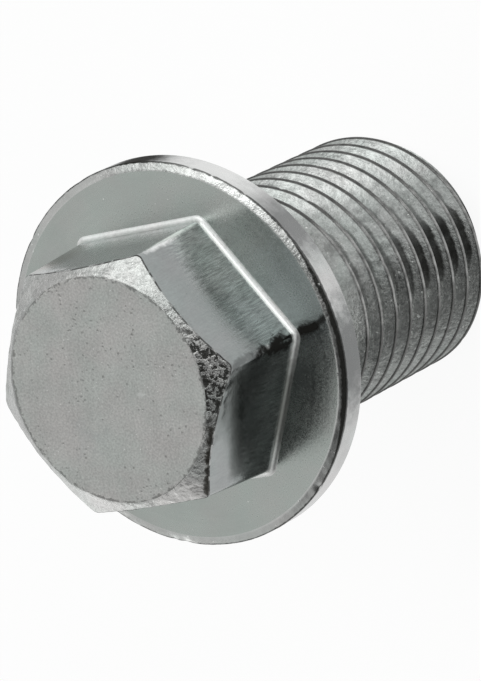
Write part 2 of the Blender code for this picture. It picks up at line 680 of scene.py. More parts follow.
@dataclass(frozen=True)
class EdgeFinish(ZincFinish):
    """Zinc plate beside a turned edge, with a dark line along the edge and, on one side, a band of
    painted shade dotted with painted glints.
    """

    edge_radius: float = 10.7
    edge_height: float = 21.44
    patch_scale: float = 3.2
    line: float = 0.075
    line_edge: Pair = (1.5, 0.6)
    line_shade: float = 0.75
    wander: float = 0.05
    # Width of a band of painted shade on one side of the edge
    band: float = 0.0
    band_ragged: float = 0.8
    band_side: Side = Side(-6.0, 36.0, 14.0)
    # Painted glints that dot the band of painted shade
    band_glints: float = 0.30
    band_glint_scale: float = 2.6
    band_glint_size: float = 0.40
    band_glint_height: float = 0.03

    def wear(self, look: Look) -> None:
        """Darken a line along the edge, and on one side a band of painted shade with painted
        glints.

        Args:
            look: the look, which is changed.
        """
        surface = look.surface
        drop = surface.along - self.edge_height
        inset = surface.reach - self.edge_radius
        patchy = surface.noise(self.patch_scale, 4.0, 0.7) - 0.5
        gap = surface.math("SQRT", drop * drop + inset * inset) + self.wander * patchy
        # Painted shade: on one side the dark line widens into a band
        if self.band:
            near = self.band_side.mask(surface)
            gap = gap - self.band * near * (1.0 + self.band_ragged * patchy)
        outer, inner = (self.line * share for share in self.line_edge)
        look.soil_and_shade(surface.step(gap, outer, inner) * self.line_shade)
        # Painted glints, bright specks that clear the painted shade
        if self.band:
            band_glints = surface.spots(self.band_glint_scale, self.band_glints, self.band_glint_size) * near
            look.paint(band_glints, GLINT)
            look.height = look.height + band_glints * self.band_glint_height
            look.clean(band_glints)


@dataclass(frozen=True)
class ThreadFinish(ZincFinish):
    """Zinc plate on the cut thread, with dirt and painted shade deep in the groove and on the
    crests, and rubbed crests.

    On one side painted dark reflections blacken the groove near the end of the thread.
    """

    root_radius: float = 6.08
    crest_radius: float = 7.0
    top: float = 13.6
    run_out: float = 1.2
    patch_scale: float = 1.3
    deep: float = 0.30
    deep_rubbed: float = 0.10
    # Dirt and painted shade in the depth of the groove
    deep_grime_and_shade: float = 0.55
    deep_edge: Pair = (0.05, -0.08)
    # Painted dark reflections: how much further out they blacken the groove on one side
    reflection_reach: float = 0.25
    reflection_strength: float = 0.90
    reflection_uneven: float = 0.25
    reflection_calm: float = 0.6
    reflection_darkness: float = 0.97
    reflection_side: Side = Side(3.0, 19.0, 5.0)
    reflection_top: float = 11.0
    reflection_full: float = 0.55
    ragged: float = 0.10
    crest_depth: Pair = (0.11, 0.05)
    # Dirt and painted shade along the crests, less on the rubbed side
    crest_grime_and_shade: float = 0.62
    crest_uneven: float = 0.3
    crest_shade: float = 0.9
    rubbed: float = 0.24
    rubbed_uneven: float = 0.30
    rubbed_clean: float = 0.9
    rubbed_side: Side = Side(8.0, 34.0, 14.0)

    def wear(self, look: Look) -> None:
        """Lay dirt and painted shade deep in the groove and on the crests, painted dark reflections
        on one side, and rub the crests.

        Args:
            look: the look, which is changed.
        """
        surface = look.surface
        patchy = surface.noise(self.patch_scale, 4.0, 0.65) - 0.5
        rubbed = self.rubbed_side.mask(surface)
        self.shade_and_soil_groove(look, patchy, rubbed)
        lower, upper = self.crest_depth
        crest = surface.step(surface.reach, self.crest_radius - lower, self.crest_radius - upper)
        bare = surface.scaled(WORN, self.rubbed + self.rubbed_uneven * patchy)
        look.paint(crest * self.crest_shade, bare)
        # Dirt and painted shade on the crests, less where they are rubbed
        left = self.crest_grime_and_shade * (1.0 - self.rubbed_clean * rubbed)
        look.soil_and_shade(crest * (left * (1.0 + self.crest_uneven * patchy)))

    def shade_and_soil_groove(self, look: Look, patchy: Wire, rubbed: Wire) -> None:
        """Lay dirt and painted shade in the groove, with painted dark reflections on one side.

        Args:
            look: the look, which is changed.
            patchy: noise about 0.
            rubbed: the rubbed side of the thread.
        """
        surface = look.surface
        # Painted dark reflections on one side, near the end of the thread
        low = surface.step(surface.along, self.reflection_top, self.reflection_top * self.reflection_full)
        shade = self.reflection_strength + self.reflection_uneven * patchy
        dark_reflection = self.reflection_side.mask(surface) * low * shade
        uneven = self.ragged * patchy * (1.0 - self.reflection_calm * dark_reflection)
        edge = self.root_radius + self.deep + self.deep_rubbed * rubbed + uneven + self.reflection_reach * dark_reflection
        cut = surface.step(surface.along, self.top, self.top - self.run_out)
        thick = self.deep_grime_and_shade + (self.reflection_darkness - self.deep_grime_and_shade) * dark_reflection
        # Dirt and painted shade in the depth of the groove
        look.soil_and_shade(surface.step(surface.reach - edge, *self.deep_edge) * cut * thick)


FACE = EdgeFinish(
    "struck_front", tone=(0.57, 0.575, 0.56), roughness=0.38, tint=0.022,
    mottle=0.14, mottle_scale=0.5, grain=0.34, grain_scale=8.0, grain_depth=0.004,
    streaks=Streaks(Lay.ACROSS, 4.5, 0.05, 0.0006),
    pits=0.60, pit_scale=3.6, pit_depth=0.012, pit_shade=0.40, pit_size=0.40, glints=0.09,
    edge_radius=6.2, edge_height=28.0, line=0.060, line_shade=0.46, wander=0.30,
    stains_or_light=(
        StainOrLight((2.1, -0.5, 28.0), 0.32, 0.45, (0.82, 0.83, 0.82), (1.0, 2.0, 1.0)),
        StainOrLight((-2.2, -2.4, 28.0), 1.5, 0.16, (0.42, 0.45, 0.46), ragged=1.2),
    ))
CHAMFER = ZincFinish(
    "forged_chamfer", tone=(0.585, 0.59, 0.58), roughness=0.20, mottle=0.16, mottle_scale=0.8,
    grain=0.30, grain_scale=6.5, grain_depth=0.005, relief_depth=0.026, relief_scale=3.7,
    rough_side=Side(0.0, 60.0, 25.0), rough_floor=0.50, hollow_shade=0.35,
    hollow_shade_side=Side(-1.0, 32.0, 12.0), glints=0.10,
    stains_or_light=(
        StainOrLight((3.1, -6.1, 27.6), 1.3, 0.75, (0.86, 0.84, 0.83), ragged=0.4, end=(1.9, -6.4, 27.7)),
        StainOrLight((5.75, -3.0, 27.85), 0.34, 0.75, matt=True, end=(4.9, -4.75, 27.7)),
        StainOrLight((4.9, -4.75, 27.7), 0.25, 0.70, matt=True, end=(3.85, -6.45, 27.25)),
        StainOrLight((-6.5, 0.5, 27.8), 8.0, 0.65, (0.40, 0.405, 0.40), ragged=0.3),
    ))
FLAT = ZincFinish(
    "drawn_flat", tone=(0.47, 0.50, 0.495), roughness=0.15, mottle=0.14,
    # Painted shade: the flats darken towards the top, where their reflection is darker
    grain=0.10, grain_scale=8.0, pits=0.03, pit_depth=0.008, fade=Fade(23.2, 24.8, 0.34),
    streaks=Streaks(Lay.ALONG, 12.0, 0.74, 0.0009, calm=Fade(24.5, 25.6, 0.86)),
    stains_or_light=(
        # Painted dark reflection on the upper part of the flat beside the corner on +X
        StainOrLight((6.4, -1.8, 26.9), 3.0, 0.50, (0.10, 0.11, 0.105), ragged=0.25),
        # A stroke of painted dark reflection along the front of the flat
        StainOrLight((7.2, -0.9, 26.5), 0.90, 0.78, (0.09, 0.10, 0.095), ragged=0.2,
              end=(4.5, -5.9, 25.0)),
        StainOrLight((7.85, -0.02, 24.9), 0.42, 0.55, (0.05, 0.05, 0.05), ragged=0.7,
              end=(7.74, -0.06, 26.8)),
        StainOrLight((7.9, 0.0, 23.25), 0.66, 0.95, BLACK, (1.0, 1.0, 0.36), matt=True),
        StainOrLight((7.84, 0.16, 23.9), 0.26, 0.95, (0.80, 0.81, 0.80)),
        StainOrLight((-3.4, 6.6, 25.0), 1.7, 0.60, (0.15, 0.125, 0.095), (1.0, 1.0, 0.50), ragged=0.4),
        StainOrLight((0.0, 6.9, 22.4), 3.2, 0.40, (0.28, 0.29, 0.28), ragged=0.3),
        # Painted highlight along the corner between two flats
        StainOrLight((3.9, 6.76, 24.4), 0.34, 0.80, (0.92, 0.93, 0.92), (1.0, 1.0, 0.10), ragged=0.5),
    ))
# Painted highlight: the fillet is a near-white copy of the plate so its highlight reads white, a
# little darker at its top
FILLET = ZincFinish(
    "forged_fillet", tone=(0.93, 0.94, 0.93), roughness=0.40, grain=0.16, grain_depth=0.002,
    fade=Fade(21.70, 21.86, 0.15),
    # Painted shade on the side of the fillet towards -30 degrees
    stains_or_light=(StainOrLight((6.4, -3.7, 21.8), 4.8, 0.90, (0.23, 0.235, 0.22), ragged=0.2),))
# Dark narrow band where the chamfer meets the flats
EDGE = ZincFinish(
    "dark_chamfer_edge", tone=(0.30, 0.305, 0.30), roughness=0.25, mottle=0.9, mottle_scale=1.6,
    grain=0.30, grime_and_shade=0.75)
FLANGE_FRONT = ZincFinish(
    "faced_flange", tone=(0.50, 0.53, 0.508), roughness=0.24, mottle=0.12, mottle_scale=0.3,
    grain=0.08, grain_scale=7.0, pit_depth=0.006, glints=0.015,
    streaks=Streaks(Lay.AROUND, 3.0, 0.05, 0.0004),
    stains_or_light=(
        StainOrLight((9.3, 2.2, 21.6), 4.6, 0.90, (0.62, 0.665, 0.66), ragged=0.3),
        StainOrLight((8.3, 0.17, 21.6), 0.34, 0.95, BLACK, ragged=0.5, matt=True, end=(9.4, 0.38, 21.6)),
        StainOrLight((9.4, 0.38, 21.6), 0.26, 0.65, BLACK, ragged=0.5, matt=True, end=(10.1, 0.7, 21.6)),
    ))
BEVEL = EdgeFinish(
    "rolled_bevel", tone=(0.63, 0.635, 0.625), roughness=0.22, mottle=0.16, grain=0.26,
    grain_scale=6.0, grain_depth=0.004, relief_depth=0.010, relief_scale=3.0, hollow_shade=0.20,
    # A band of painted shade, a dark reflection, on one side of the bevel, dotted with painted
    # glints
    glints=0.12, rough_side=Side(48.0, 62.0, 36.0), line_shade=0.92, band=0.21,
    # Painted highlight on the bevel at about 48 degrees
    stains_or_light=(StainOrLight((7.0, 7.8, 21.5), 4.4, 0.80, (0.86, 0.87, 0.86), ragged=0.5),))
RIM = EdgeFinish(
    "turned_rim", tone=(0.52, 0.525, 0.52), roughness=0.25, mottle=0.30, mottle_scale=0.25,
    streaks=Streaks(Lay.AROUND, 3.5, 0.08, 0.0008),
    stains_or_light=(
        # Painted shade: a dark reflection on the rim at about -9 degrees
        StainOrLight((10.4, -1.6, 20.8), 4.2, 0.85, (0.14, 0.145, 0.145), ragged=0.3),
        # Painted highlight on the rim at about 60 degrees
        StainOrLight((5.3, 9.3, 20.7), 3.6, 0.60, (0.90, 0.91, 0.90), ragged=0.3),
        # Painted shade along the rim's lower band at about 32 degrees
        StainOrLight((9.0, 5.7, 20.8), 2.8, 0.80, (0.17, 0.175, 0.175), ragged=0.3),
        # Painted shade, matt black, on the rim at about 86 degrees
        StainOrLight((0.7, 10.7, 20.8), 2.5, 0.90, (0.04, 0.04, 0.035), ragged=0.2, matt=True),
    ))
BACK = ZincFinish(
    "turned_back", tone=(0.56, 0.57, 0.56), roughness=0.30,
    streaks=Streaks(Lay.AROUND, 4.0, 0.14, 0.0015))
NECK = ZincFinish(
    "turned_neck", tone=(0.42, 0.43, 0.42), roughness=0.28,
    streaks=Streaks(Lay.AROUND, 3.5, 0.14, 0.0015))
THREAD = ThreadFinish(
    "cut_thread", tone=(0.54, 0.555, 0.545), roughness=0.22, mottle=0.36, mottle_scale=0.5,
    grain=0.34, grain_scale=5.0, grain_depth=0.004, streaks=Streaks(Lay.HELIX, 5.0, 0.18, 0.002),
    relief_depth=0.012, relief_scale=1.6, hollow_shade=0.20, glints=0.09,
    stains_or_light=(StainOrLight((6.1, -2.8, 7.0), 4.0, 0.85, (0.82, 0.84, 0.82), (1.0, 1.0, 0.3), ragged=0.3),))
END = ZincFinish(
    "faced_end", tone=(0.56, 0.57, 0.555), roughness=0.32,
    streaks=Streaks(Lay.AROUND, 4.0, 0.16, 0.0015))


def arc(centre: Pair, radius: float, start: float, end: float, steps: int) -> list[Pair]:
    """Points along an arc.

    Args:
        centre: its centre.
        radius: its radius.
        start: the angle of its first point, in degrees.
        end: the angle of its last point, in degrees.
        steps: the number of chords.

    Returns:
        The points, first and last included.
    """
    angles = [radians(start + (end - start) * step / steps) for step in range(steps + 1)]
    return [(centre[0] + radius * cos(angle), centre[1] + radius * sin(angle)) for angle in angles]


def bend(first: np.ndarray, corner: np.ndarray, last: np.ndarray, share: float) -> np.ndarray:
    """A place on the curve that rounds a corner, by its share of the way."""
    return (1 - share) ** 2 * first + 2 * share * (1 - share) * corner + share**2 * last


def eased(count: int) -> list[float]:
    """Places from 0 to 1 that crowd at both ends."""
    return [(1 - cos(pi * step / count)) / 2 for step in range(count + 1)]


def ramp(values: np.ndarray, start: float, width: float) -> np.ndarray:
    """A level that rises from 0 at the start to 1 a width further on."""
    return np.clip((values - start) / width, 0.0, 1.0)


def full_turn(count: int) -> np.ndarray:
    """Even azimuths round the axis, from 0."""
    return np.arange(count) * 2 * pi / count


def put(name: str, data: bpy.types.ID) -> bpy.types.Object:
    """Make an object and put it in the scene.

    Args:
        name: its name.
        data: its mesh or camera.

    Returns:
        The object.
    """
    item = bpy.data.objects.new(name, data)
    bpy.context.scene.collection.objects.link(item)
    return item


@dataclass
class RingLoft:
    """Closed rings of points about the plug's axis, given from the top down and skinned.

    The heights of the rings count from the base.
    """

    azimuths: np.ndarray
    base: float = 0.0
    rings: list[np.ndarray] = field(default_factory=list)
    slots: list[int] = field(default_factory=list)

    def ring(
        self, radius: Union[float, np.ndarray], height: Union[float, np.ndarray], slot: int
    ) -> None:
        """Add a ring.

        Args:
            radius: its radius, one number or one for each azimuth.
            height: its height, likewise.
            slot: material slot of the band between it and the ring before.
        """
        radii = np.broadcast_to(radius, self.azimuths.shape)
        heights = np.broadcast_to(self.base + height, self.azimuths.shape)
        rows = [radii * np.cos(self.azimuths), radii * np.sin(self.azimuths), heights]
        self.rings.append(np.stack(rows, axis=1))
        self.slots.append(slot)

    def mesh(self, name: str) -> bpy.types.Mesh:
        """Skin the rings, with a fan over the first and one under the last.

        Args:
            name: the mesh's name.

        Returns:
            A closed mesh with smooth faces.
        """
        count, bands = len(self.azimuths), len(self.rings) - 1
        ends = [(0.0, 0.0, float(ring[:, 2].mean())) for ring in (self.rings[0], self.rings[-1])]
        points = np.concatenate([*self.rings, ends])
        top, bottom, last = len(points) - 2, len(points) - 1, bands * count
        pairs = [(here, (here + 1) % count) for here in range(count)]
        faces: list[tuple[int, ...]] = [(top, here, after) for here, after in pairs]
        for upper in range(0, last, count):
            lower = upper + count
            faces += [(upper + here, lower + here, lower + after, upper + after)
                      for here, after in pairs]
        faces += [(bottom, last + after, last + here) for here, after in pairs]
        mesh = bpy.data.meshes.new(name)
        mesh.from_pydata(points.tolist(), [], faces)
        mesh.polygons.foreach_set("material_index", np.repeat([*self.slots, self.slots[-1]], count))
        mesh.shade_smooth()
        return mesh


@dataclass(frozen=True)
class Ripple:
    """Smooth random waves: how many to a millimetre, a seed, and their depth in millimetres."""

    scale: float
    seed: float
    depth: float

    def read(self, places: np.ndarray) -> np.ndarray:
        """Read the waves.

        Args:
            places: points, in metres.

        Returns:
            How far each of them stands out, in metres.
        """
        shift = Vector((self.seed, -self.seed, 2 * self.seed))
        factor = self.scale / MM
        levels = [noise.noise(Vector(place) * factor + shift) for place in places]
        return np.array(levels) * self.depth * MM


class Skin:
    """The vertices of a mesh, with their height, reach and azimuth about the axis."""

    def __init__(self, mesh: bpy.types.Mesh) -> None:
        """Read the vertices.

        Args:
            mesh: the mesh.
        """
        self.mesh = mesh
        places = np.empty(len(mesh.vertices) * 3)
        mesh.vertices.foreach_get("co", places)
        self.places = places.reshape(-1, 3)
        self.height = self.places[:, 2]
        self.reach = np.hypot(self.places[:, 0], self.places[:, 1])
        self.azimuth = np.arctan2(self.places[:, 1], self.places[:, 0])

    def rippled(self, *ripples: Ripple) -> np.ndarray:
        """The sum of some ripples at every vertex."""
        return sum(ripple.read(self.places) for ripple in ripples)

    def dent(self, azimuth: float, radius: float, width: float, across: np.ndarray) -> np.ndarray:
        """Shape of a soft dent.

        Args:
            azimuth: where it is.
            radius: how far from the axis it is.
            width: its width round the axis.
            across: distance from its middle the other way, in widths.

        Returns:
            1 at its middle and 0 away from it, for each vertex.
        """
        turn = np.angle(np.exp(1j * (self.azimuth - azimuth)))
        return np.exp(-((turn * radius / width) ** 2 + across**2))

    def place(self, places: np.ndarray) -> None:
        """Move the vertices to new places."""
        self.mesh.vertices.foreach_set("co", places.ravel())
        self.mesh.update()

    def push(self, amounts: np.ndarray) -> None:
        """Move every vertex outwards along its normal.

        Args:
            amounts: how far, in metres.
        """
        normals = np.empty(self.places.size)
        self.mesh.vertex_normals.foreach_get("vector", normals)
        self.place(self.places + normals.reshape(-1, 3) * amounts[:, None])


def finish_piece(mesh: bpy.types.Mesh, finishes: Sequence[ZincFinish]) -> bpy.types.Object:
    """Turn a mesh into a piece of the plug.

    Args:
        mesh: the mesh, named as the piece.
        finishes: the finish of each material slot.

    Returns:
        The piece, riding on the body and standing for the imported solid.
    """
    for finish in finishes:
        mesh.materials.append(finish.material())
    mesh.set_sharp_from_angle(angle=SHARP_ANGLE)
    piece = put(mesh.name, mesh)
    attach(piece, BODY)
    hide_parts(NODE)
    return piece


class HeadZone(IntEnum):
    """Material slots of the head."""

    FACE = 0
    CHAMFER = 1
    FLAT = 2
    FILLET = 3
    EDGE = 4


@dataclass
class HexagonHead:
    """Forged hexagon with a flat round front, a conical chamfer and a fillet at its foot."""

    foot_height: float = FLANGE_FACE
    height: float = 6.4 * MM
    across_flats: float = 14.0 * MM
    draft: float = radians(3.5)
    corner_radius: float = 0.45 * MM
    corner_zone: float = radians(3.4)
    fillet: float = 0.28 * MM
    face_diameter: float = 12.5 * MM
    face_edge: float = 0.16 * MM
    chamfer: float = radians(31.0)
    chamfer_edge: float = 0.07 * MM
    chamfer_edge_share: float = 0.4
    halvings: int = 40
    front_depth: float = 0.02 * MM
    forged_rim: float = 0.35 * MM
    forged_depth: float = 1.15 * MM
    forged_fade: float = 0.50 * MM
    forged_front: Pair = (0.5, 0.3)
    calm_foot: float = 1.2 * MM
    forging: tuple[Ripple, ...] = (
        Ripple(0.75, 3.0, 0.030), Ripple(2.1, 11.0, 0.022), Ripple(5.0, 23.0, 0.010))
    waves: tuple[Ripple, ...] = (Ripple(0.3, 5.0, 0.010), Ripple(2.1, 11.0, 0.003))
    finishes: tuple[ZincFinish, ...] = (FACE, CHAMFER, FLAT, FILLET, EDGE)

    def azimuths(self) -> np.ndarray:
        """Angles round the head, crowded at its corners.

        Returns:
            The angles, rising, in radians.
        """
        near = np.linspace(0.0, self.corner_zone, 10, endpoint=False)
        share = (np.arange(27) / 27) ** 1.25
        far = self.corner_zone + (pi / 6 - self.corner_zone) * share
        side = np.concatenate([near, far])
        sector = np.concatenate([[-pi / 6], -side[:0:-1], side])
        return np.concatenate([sector + corner * pi / 3 for corner in range(6)])

    def outline(
        self, azimuths: np.ndarray, apothem: Union[float, np.ndarray], corner: float
    ) -> np.ndarray:
        """Radius of a rounded hexagon, with a corner on +X.

        Args:
            azimuths: where it is read.
            apothem: from the axis to a flat.
            corner: radius of the corners.

        Returns:
            The radius at each azimuth.
        """
        turn = (azimuths + pi / 6) % (pi / 3) - pi / 6
        centre = (apothem - corner) / cos(pi / 6)
        tangent = np.arctan2(corner * sin(pi / 6), centre + corner * cos(pi / 6))
        inside = np.maximum(corner**2 - (centre * np.sin(turn)) ** 2, 0.0)
        rounded = centre * np.cos(turn) + np.sqrt(inside)
        straight = apothem / np.cos(pi / 6 - np.abs(turn))
        return np.where(np.abs(turn) < tangent, rounded, straight)

    def side(self, azimuths: np.ndarray, level: np.ndarray) -> np.ndarray:
        """Radius of the drafted flats at a level above the foot."""
        apothem = self.across_flats / 2 - level * tan(self.draft)
        return self.outline(azimuths, apothem, self.corner_radius)

    def crossing(self, azimuths: np.ndarray) -> np.ndarray:
        """Find where the chamfer meets the flats, by halving.

        Args:
            azimuths: the angles round the head.

        Returns:
            The level above the foot at each of them.
        """
        low = np.zeros_like(azimuths)
        high = np.full_like(azimuths, self.height)
        for _ in range(self.halvings):
            middle = (low + high) / 2
            cone = self.face_diameter / 2 + (self.height - middle) / tan(self.chamfer)
            outside = cone > self.side(azimuths, middle)
            low = np.where(outside, middle, low)
            high = np.where(outside, high, middle)
        return (low + high) / 2

    def lay_front(self, loft: RingLoft) -> Pair:
        """Lay the rings of the flat front and of its rounded edge.

        Args:
            loft: the loft, which grows.

        Returns:
            The radius, and the level above the foot, at which the cone starts.
        """
        flat_radius = self.face_diameter / 2 - self.face_edge
        for share in np.linspace(0.02, 1.0, 22) ** 0.8:
            loft.ring(share * flat_radius, self.height, HeadZone.FACE)
        turn_radius = self.face_edge / tan(self.chamfer / 2)
        for step in range(1, 6):
            angle = self.chamfer * step / 5
            radius = flat_radius + turn_radius * sin(angle)
            level = self.height - turn_radius * (1 - cos(angle))
            loft.ring(radius, level, HeadZone.FACE if step < 3 else HeadZone.CHAMFER)
        return radius, level

    def lay_chamfer(self, loft: RingLoft, radius: float, level: float) -> np.ndarray:
        """Lay the rings of the cone and of the thin edge below it.

        Args:
            loft: the loft, which grows.
            radius: where the cone starts.
            level: the same, above the foot.

        Returns:
            The level above the foot at which the flats start, for each azimuth.
        """
        meet = self.crossing(loft.azimuths)
        length = (level - meet) / sin(self.chamfer)
        trim = np.minimum(self.chamfer_edge, length * self.chamfer_edge_share)
        for share in eased(12)[1:]:
            run = share * (length - trim)
            cone = np.stack([radius + run * cos(self.chamfer), level - run * sin(self.chamfer)])
            loft.ring(*cone, HeadZone.CHAMFER)
        below = meet - trim
        corner = np.stack([self.side(loft.azimuths, meet), meet])
        flat = np.stack([self.side(loft.azimuths, below), below])
        for step in range(1, 6):
            zone = HeadZone.CHAMFER if step < 2 else HeadZone.EDGE
            loft.ring(*bend(cone, corner, flat, step / 5), zone)
        return below

    def lay_side(self, loft: RingLoft, start: np.ndarray) -> None:
        """Lay the rings of the flats, of the fillet, and of the foot sunk in the flange.

        Args:
            loft: the loft, which grows.
            start: the level above the foot at which the flats start, for each azimuth.
        """
        for share in eased(22)[1:]:
            level = start + share * (self.fillet - start)
            loft.ring(self.side(loft.azimuths, level), level, HeadZone.FLAT)
        for step in range(8, -1, -1):
            turn = pi / 2 * step / 9
            flare = self.fillet * (1 - sin(turn))
            level = self.fillet * (1 - cos(turn))
            apothem = self.across_flats / 2 - level * tan(self.draft) + flare
            foot = self.outline(loft.azimuths, apothem, self.corner_radius + flare)
            loft.ring(foot, level, HeadZone.FILLET)
        for share in (1.0, 0.5):
            loft.ring(foot * share, -SUNK, HeadZone.FILLET)

    def forge(self, mesh: bpy.types.Mesh) -> None:
        """Give the head the uneven skin of a forging.

        Args:
            mesh: the head's mesh.
        """
        skin = Skin(mesh)
        level = skin.height - self.foot_height
        front = level > self.height - self.front_depth
        edge = ramp(skin.reach, self.face_diameter / 2 - self.forged_rim, self.forged_rim)
        cone = ramp(level, self.height - self.forged_depth, self.forged_fade)
        foot = ramp(level, 0.0, self.calm_foot)
        rough = skin.rippled(*self.forging) * edge
        wavy = skin.rippled(*self.waves)
        much, little = self.forged_front
        skin.push(np.where(front, much * rough + little * wavy, cone * rough + wavy) * foot)

    def build(self) -> bpy.types.Object:
        """Build and dress the head.

        Returns:
            The piece.
        """
        loft = RingLoft(self.azimuths(), self.foot_height)
        radius, level = self.lay_front(loft)
        self.lay_side(loft, self.lay_chamfer(loft, radius, level))
        mesh = loft.mesh("hexagon_head")
        self.forge(mesh)
        return finish_piece(mesh, self.finishes)


class FlangeZone(IntEnum):
    """Material slots of the flange."""

    FACE = 0
    BEVEL = 1
    RIM = 2
    BACK = 3


@dataclass
class Flange:
    """Thin round flange with a bevelled front edge."""

    diameter: float = 21.4 * MM
    bevel_width: float = 0.43 * MM
    bevel_depth: float = 0.14 * MM
    bevel_edge: float = 0.06 * MM
    rim_edge: float = 0.05 * MM
    back_edge: float = 0.10 * MM
    face_shares: tuple[float, ...] = (
        0.05, 0.3, 0.6, 0.68, 0.74, 0.79, 0.84, 0.88, 0.92, 0.95, 0.975, 0.99, 1.0)
    bevel_shares: tuple[float, ...] = (0.25, 0.5, 0.75, 0.92, 1.0)
    back_shares: tuple[float, ...] = (0.985, 0.95, 0.85, 0.7, 0.5, 0.1)
    segments: int = 432
    hidden_share: float = 0.3
    worn_inset: float = 0.10 * MM
    worn_fade: float = 0.20 * MM
    worn_depth: float = 0.12 * MM
    waves: Ripple = Ripple(0.25, 8.0, 0.004)
    rolled: tuple[Ripple, ...] = (Ripple(1.3, 17.0, 0.014), Ripple(3.4, 29.0, 0.010))
    dents: int = 16
    dent_seed: int = 14
    dent_width: Pair = (0.10, 0.30)
    dent_depth: Pair = (0.03, 0.09)
    dent_reach: float = 0.22 * MM
    finishes: tuple[ZincFinish, ...] = (FLANGE_FRONT, BEVEL, RIM, BACK)

    def lay_front(self, loft: RingLoft) -> np.ndarray:
        """Lay the rings of the face and the bevel.

        Args:
            loft: the loft, which grows.

        Returns:
            Radius and height of the end of the bevel.
        """
        rim = self.diameter / 2
        slope = atan2(self.bevel_depth, self.bevel_width)
        flat_radius = rim - self.bevel_width - self.bevel_edge
        for share in self.face_shares:
            loft.ring(share * flat_radius, FLANGE_FACE, FlangeZone.FACE)
        turn_radius = self.bevel_edge / tan(slope / 2)
        for step in range(1, 5):
            angle = slope * step / 4
            start = np.array((
                flat_radius + turn_radius * sin(angle),
                FLANGE_FACE - turn_radius * (1 - cos(angle))))
            loft.ring(*start, FlangeZone.BEVEL)
        drop = self.bevel_depth - self.rim_edge * tan(slope)
        end = np.array((rim - self.rim_edge, FLANGE_FACE - drop))
        for share in self.bevel_shares:
            loft.ring(*(start + share * (end - start)), FlangeZone.BEVEL)
        return end

    def lay_rim(self, loft: RingLoft, bevel_end: np.ndarray) -> None:
        """Lay the rings of the rim and the back.

        Args:
            loft: the loft, which grows.
            bevel_end: radius and height of the end of the bevel.
        """
        rim = self.diameter / 2
        corner = np.array((rim, FLANGE_FACE - self.bevel_depth))
        shoulder = corner - np.array((0.0, self.rim_edge))
        for step in range(1, 5):
            loft.ring(*bend(bevel_end, corner, shoulder, step / 4), FlangeZone.RIM)
        foot = FLANGE_BACK + self.back_edge
        for share in eased(10)[1:]:
            loft.ring(rim, shoulder[1] + share * (foot - shoulder[1]), FlangeZone.RIM)
        for radius, height in arc((rim - self.back_edge, foot), self.back_edge, 0.0, -90.0, 5)[1:]:
            loft.ring(radius, height, FlangeZone.RIM)
        for share in self.back_shares:
            loft.ring(share * (rim - self.back_edge), FLANGE_BACK, FlangeZone.BACK)

    def wear(self, mesh: bpy.types.Mesh) -> None:
        """Give the flange its slight waves and the small dents of its bevelled edge.

        Args:
            mesh: the flange's mesh.
        """
        skin = Skin(mesh)
        rim = self.diameter / 2
        edge = ramp(skin.reach, rim - self.bevel_width - self.worn_inset, self.worn_fade)
        front = skin.height > FLANGE_FACE - self.bevel_depth - self.worn_depth
        hollows = -edge * skin.rippled(*self.rolled)
        across = (rim - skin.reach) / self.dent_reach
        draws = Random(self.dent_seed)
        for _ in range(self.dents):
            azimuth = draws.uniform(-pi, pi)
            width = draws.uniform(*self.dent_width) * MM
            depth = draws.uniform(*self.dent_depth) * MM
            hollows += depth * skin.dent(azimuth, rim, width, across)
        amounts = skin.rippled(self.waves) - np.where(front, hollows, 0.0)
        skin.push(np.where(skin.reach < self.diameter * self.hidden_share, 0.0, amounts))

    def build(self) -> bpy.types.Object:
        """Build and dress the flange.

        Returns:
            The piece.
        """
        loft = RingLoft(full_turn(self.segments))
        self.lay_rim(loft, self.lay_front(loft))
        mesh = loft.mesh("flange")
        self.wear(mesh)
        return finish_piece(mesh, self.finishes)


class StudZone(IntEnum):
    """Material slots of the stud."""

    NECK = 0
    THREAD = 1
    END = 2


